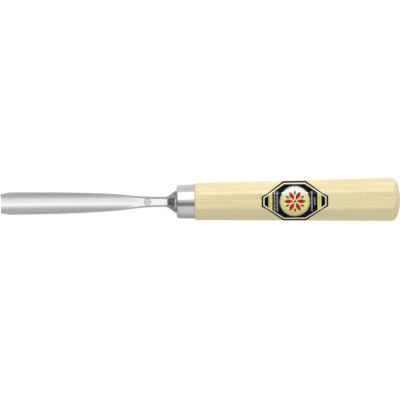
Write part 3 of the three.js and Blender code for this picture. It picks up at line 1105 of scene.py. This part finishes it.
class GOUGE_OT_label(Operator):
    """Print the label's film: black ground, edging, end bands, rings and disc"""

    bl_idname = "gouge.make_label"
    bl_label = "Label film"

    def execute(self, context):
        scene = context.scene
        label, film = scene.gouge_label, Film(scene)
        top = label.gap + label.film
        black = printed_ink("label_black", label.black, scene)
        cream = printed_ink("label_cream", label.cream, scene)
        yellow = printed_ink("label_yellow", label.yellow, scene)
        # The disc is printed straw; its far side is painted lighter, a painted sheen.
        disc = printed_ink("label_disc", label.painted_sheen, scene, label.straw)
        materials = [black, cream, yellow, silver_ink(scene), disc]
        regions = [
            (long_octagon(label, 0), BLACK),
            (long_octagon(label, CREAM_FROM), CREAM),
            (long_octagon(label, FIELD_FROM), BLACK),
            *[(end_band(label, side, BAND_FROM, BAND_TO, FIELD_FROM), YELLOW) for side in (1, -1)],
        ]
        for inset, slot in ((0, SILVER), (0.3, BLACK), (0.5, SILVER), (0.8, DISC)):
            regions.append((circle(label.disc_radius - inset * MM), slot))
        points, loops, edges = [], [], []
        for outline, _ in regions:
            loops.append(list(range(len(points), len(points) + len(outline))))
            points += [Vector(p) for p in outline]
        for side in (1, -1):
            for step in range(-FOLD_STEPS, FOLD_STEPS + 1):
                off = step / FOLD_STEPS * film.bend
                places = [share * (FOLD_REACH - off * FOLD_SLANT) for share in FOLD_ENDS]
                edges.append((len(points), len(points) + 1))
                points += [Vector((x, side * (film.arris(x, top) + off))) for x in places]
        flat, _, triangles, _, _, inside = delaunay_2d_cdt(points, edges, loops, 0, 1e-9)
        vertices = [(film.middle + x, y, film.height(x, y, top)) for x, y in flat]
        vertices += [(film.middle + x, y, film.height(x, y, label.gap)) for x, y in flat]
        count = len(flat)
        faces, slots, directed = [], [], {}
        for triangle, owners in zip(triangles, inside):
            faces.append(tuple(triangle))
            slots.append(regions[max(owners)][1] if owners else BLACK)
            faces.append(tuple(count + i for i in reversed(triangle)))
            slots.append(BLACK)
            for a, b in zip(triangle, triangle[1:] + triangle[:1]):
                directed[(a, b)] = True
        for a, b in directed:
            if (b, a) not in directed:
                faces.append((b, a, a + count, b + count))
                slots.append(BLACK)
        piece = new_piece("label_film", vertices, faces, scene)
        for material in materials:
            piece.data.materials.append(material)
        for polygon, slot in zip(piece.data.polygons, slots):
            polygon.material_index = slot
        close_up(piece.data, crease=30)
        stands_for(piece, "handle_label")
        return {"FINISHED"}


def leaf(start, long, wide, columns=60, rows=8):
    """A pointed leaf along X, pointed at both ends."""
    vertices, faces = [], []
    for i in range(columns + 1):
        half = wide / 2 * math.sin(math.pi * i / columns)
        for j in range(rows + 1):
            vertices.append((start + long * i / columns, half * (2 * j / rows - 1), 0))
    for i in range(columns):
        for j in range(rows):
            a = i * (rows + 1) + j
            faces.append((a, a + rows + 1, a + rows + 2, a + 1))
    return vertices, faces


HUB_RADIUS, HUB_POINTS = 0.8 * MM, 24
DOT_RADIUS, DOT_POINTS, DOTS, DOTS_RADIUS = 0.22 * MM, 8, 36, 7.9 * MM
NOTCH_STEP, NOTCH_WIDTH = 0.85 * MM, 0.5 * MM


class GOUGE_OT_ornament(Operator):
    """Print the rosette on the disc and the small notches beside it"""

    bl_idname = "gouge.make_ornament"
    bl_label = "Label ornament"

    def execute(self, context):
        scene = context.scene
        label, film = scene.gouge_label, Film(scene)
        tree = printed_tree()
        red = printed_ink("label_red", label.red, scene)
        green = printed_ink("label_green", label.green, scene)
        olive = printed_ink("label_olive", label.olive, scene)
        silver = bpy.data.materials["silver_ink"]
        full = 2 * math.pi / label.petals
        hub = [(x, y, 0) for x, y in circle(HUB_RADIUS, HUB_POINTS)]
        dot = [(x + DOTS_RADIUS, y, 0) for x, y in circle(DOT_RADIUS, DOT_POINTS)]
        round_prints = [
            ("petals", leaf(1.1 * MM, 5.9 * MM, 2.5 * MM), label.petals, full, 0, red),
            ("darts", leaf(3.9 * MM, 3.1 * MM, 1.35 * MM), label.petals, full, full / 2, green),
            ("hub", (hub, [tuple(range(HUB_POINTS))]), 1, 0, 0, green),
            ("dots", (dot, [tuple(range(DOT_POINTS))]), DOTS, 2 * math.pi / DOTS, 0, olive),
        ]
        for name, motif, count, turn, first, material in round_prints:
            self.print_row(film, tree, name, motif, count, (0, 0, 0), 0, turn, first, material)
        rows = [
            ("notches_a", -12.9, 1.2, 15, silver),
            ("notches_b", -11.2, 1.2, 15, silver),
            ("notches_c", 10.7, 1.2, 15, silver),
            ("notches_d", 12.5, 1.0, 6, silver),
            ("marks_a", -15.9, 0.8, 9, olive),
            ("marks_b", 15.6, 0.8, 7, olive),
        ]
        for name, place, long, count, material in rows:
            motif = leaf(-long * MM / 2, long * MM, NOTCH_WIDTH, 8, 2)
            start = (place * MM, -(count - 1) / 2 * NOTCH_STEP, 0)
            self.print_row(film, tree, name, motif, count, start, NOTCH_STEP, 0, 0, material)
        return {"FINISHED"}

    def print_row(self, film, tree, name, shape, count, start, step, turn, first, material):
        scene = bpy.context.scene
        label = scene.gouge_label
        motif = add_object(name + "_motif", new_mesh(name + "_motif", *shape), scene)
        values = {
            "Motif": motif,
            "Count": count,
            "Start": start,
            "Step": (0, step, 0),
            "Turn": turn,
            "First turn": first,
            "Middle": (film.middle, 0, 0),
            "Facet distance": film.distance,
            "Facet slope": film.slope,
            "Bend": film.bend,
            "Level": label.gap + label.film,
            "Ink": label.ink,
            "Material": material,
        }
        piece = piece_from_tree("label_" + name, tree, values, scene)
        bpy.data.objects.remove(motif)
        close_up(piece.data)
        stands_for(piece, None)


# ---- Stage ----


def softbox(scene, name, low, high, radiance, half_spread, only=(), without=()):
    """A soft rectangular lamp over the tool, between two angles off the vertical, in degrees,
    positive over the far side. It may light only some pieces, or all but some. Only the floor
    blocks it, so no piece shades another from it."""
    middle, half = math.radians((low + high) / 2), math.radians((high - low) / 2)
    distance = 1.3
    lamp = bpy.data.lights.new(name, "AREA")
    lamp.shape = "RECTANGLE"
    lamp.size = 2 * distance * math.tan(math.radians(half_spread))
    lamp.size_y = 2 * distance * math.tan(half)
    lamp.energy = radiance * math.pi * lamp.size * lamp.size_y
    box = add_object(name, lamp, scene)
    box.location = (0, distance * math.sin(middle), distance * math.cos(middle))
    box.rotation_euler = (-middle, 0, 0)
    box.visible_camera = False
    lit = bpy.data.collections.new(name + "_lit")
    for piece in (*only, *without):
        lit.objects.link(piece)
    for member in lit.collection_objects:
        member.light_linking.link_state = "EXCLUDE" if without else "INCLUDE"
    box.light_linking.receiver_collection = lit
    box.light_linking.blocker_collection = bpy.data.collections["shades"]
    return box


class GOUGE_OT_stage(Operator):
    """Lay the floor, hang the lights and set the camera over the tool"""

    bl_idname = "gouge.make_stage"
    bl_label = "Stage"

    def execute(self, context):
        scene = context.scene
        stage = scene.gouge_stage
        low, high = cad_box
        self.lay_floor(scene, low.z)
        self.hang_dome(scene)
        self.hang_lamps(scene)
        lens, sensor = 200, 36
        data = bpy.data.cameras.new("camera")
        data.lens, data.sensor_width = lens, sensor
        data.clip_start, data.clip_end = 0.05, 50
        camera = add_object("camera", data, scene)
        distance = stage.view_width * lens / sensor
        centre = (low + high) / 2
        centre.y += stage.camera_rise
        lean, turn = stage.camera_lean, stage.camera_turn
        back = Vector((0, math.sin(lean), math.cos(lean)))
        right = Vector((math.cos(turn), -math.sin(turn), 0))
        right = (right - back * right.dot(back)).normalized()
        up = back.cross(right)
        place = Matrix((right, up, back)).transposed().to_4x4()
        place.translation = centre + back * distance
        camera.matrix_world = place
        scene.camera = camera
        return {"FINISHED"}

    def lay_floor(self, scene, height):
        size = 3.0
        corners = [(-size, -size), (size, -size), (size, size), (-size, size)]
        mesh = new_mesh("floor", [(x, y, height) for x, y in corners], [(0, 1, 2, 3)])
        mesh.materials.append(floor_paper(scene))
        floor = add_object("floor", mesh, scene)
        floor.visible_glossy = False
        bpy.data.collections.new("shades").objects.link(floor)
        self.stand_backdrop(scene, height, floor.data.materials[0])

    def stand_backdrop(self, scene, height, paper):
        """The same paper, curving up all round the floor. It hides no light: only the camera
        sees it."""
        start, bend, tall, around = 2.1, 0.6, 2.4, 96
        clear_of_floor = 0.5 * MM
        profile = [(0, clear_of_floor)] + [
            (bend * math.sin(t), bend * (1 - math.cos(t))) for t in spread(0.02, math.pi / 2, 16)
        ]
        profile += [(bend, bend), (bend, tall)]
        rings = [
            (math.cos(turn) * (start + out), math.sin(turn) * (start + out), height + up)
            for out, up in profile
            for turn in spread(0, 2 * math.pi, around)
        ]
        faces = [
            (i + j, i + (j + 1) % around, i + around + (j + 1) % around, i + around + j)
            for i in range(0, (len(profile) - 1) * around, around)
            for j in range(around)
        ]
        mesh = new_mesh("backdrop", rings, faces)
        mesh.flip_normals()
        mesh.shade_smooth()
        mesh.materials.append(paper)
        backdrop = add_object("backdrop", mesh, scene)
        backdrop.visible_diffuse = backdrop.visible_glossy = backdrop.visible_shadow = False

    def hang_dome(self, scene):
        """A pale studio dome, with a dark band just over the near side. It is dimmer past 15 degrees
        over the far side, low down behind the near side, and towards both ends."""
        scene.view_settings.view_transform = "Standard"
        world = bpy.data.worlds.new("studio")
        scene.world = world
        world.use_nodes = True
        world.node_tree.nodes.clear()
        nodes = Nodes(world.node_tree)
        where = nodes.add("ShaderNodeTexCoord").outputs["Generated"]
        x, y, z = nodes.add("ShaderNodeSeparateXYZ", {0: where}).outputs
        tilt = nodes.maths("MULTIPLY", nodes.maths("ARCTAN2", y, z), 180 / math.pi)
        gap = nodes.maths("MULTIPLY", ramp(nodes, tilt, -36, -24), ramp(nodes, tilt, -11, 9, 1, 0))
        level = nodes.maths("MULTIPLY_ADD", gap, -0.76, 1.14)
        for low, high, change in ((15, 40, -0.32), (85, 105, 0.36), (-60, -130, -0.52)):
            level = nodes.maths("ADD", level, ramp(nodes, tilt, low, high, 0, change))
        ends = ramp(nodes, nodes.maths("ABSOLUTE", x), 0.5, 0.95, 1, 0.5)
        strength = nodes.maths("MULTIPLY", level, ends)
        back = nodes.add("ShaderNodeBackground", {"Strength": strength})
        nodes.add("ShaderNodeOutputWorld", {"Surface": back.outputs[0]})

    def hang_lamps(self, scene):
        """Strips over the far side, wide lamps for the blade and a glint on the label. They are
        linked to pieces, so the pieces are made first."""
        blade = [bpy.data.objects["forged_blade"]]
        label = [bpy.data.objects[name] for name in ("label_film", "label_petals", "label_darts")]
        softbox(scene, "key_strip", 18, 66, 1.6, 41, without=blade)
        softbox(scene, "far_strip", 66, 92, 0.35, 41, without=blade)
        softbox(scene, "blade_box", -60, 44, 0.5, 38, only=blade)
        softbox(scene, "blade_strip", -36, 28, 0.65, 38, only=blade)
        softbox(scene, "blade_far", 34, 70, 0.2, 38, only=blade)
        glint = softbox(scene, "label_glint", 34, 56, 20, 14, only=label)
        glint.visible_diffuse = False


class GOUGE_PT_panel(Panel):
    """Sizes and colours of the gouge, and one button for each piece"""

    bl_idname = "GOUGE_PT_panel"
    bl_label = "Carving Gouge"
    bl_space_type = "VIEW_3D"
    bl_region_type = "UI"
    bl_category = "Gouge"

    def draw(self, context):
        for operator in OPERATORS:
            self.layout.operator(operator.bl_idname)
        for name in SETTINGS:
            box = self.layout.box()
            group = getattr(context.scene, name)
            for key in group.__annotations__:
                box.prop(group, key)


SETTINGS = {
    "gouge_blade": BladeSettings,
    "gouge_ferrule": FerruleSettings,
    "gouge_handle": HandleSettings,
    "gouge_label": LabelSettings,
    "gouge_stage": StageSettings,
}
OPERATORS = [
    GOUGE_OT_blade,
    GOUGE_OT_ferrule,
    GOUGE_OT_handle,
    GOUGE_OT_label,
    GOUGE_OT_ornament,
    GOUGE_OT_stage,
]


def register():
    for item in (*SETTINGS.values(), *OPERATORS, GOUGE_PT_panel):
        bpy.utils.register_class(item)
    for name, group in SETTINGS.items():
        setattr(bpy.types.Scene, name, PointerProperty(type=group))


def unregister():
    for name in SETTINGS:
        delattr(bpy.types.Scene, name)
    for item in (GOUGE_PT_panel, *reversed(OPERATORS), *reversed(SETTINGS.values())):
        bpy.utils.unregister_class(item)


def main():
    register()
    bpy.ops.gouge.make_blade()
    bpy.ops.gouge.make_ferrule()
    bpy.ops.gouge.make_handle()
    bpy.ops.gouge.make_label()
    bpy.ops.gouge.make_ornament()
    bpy.ops.gouge.make_stage()


if __name__ == "__main__":
    main()
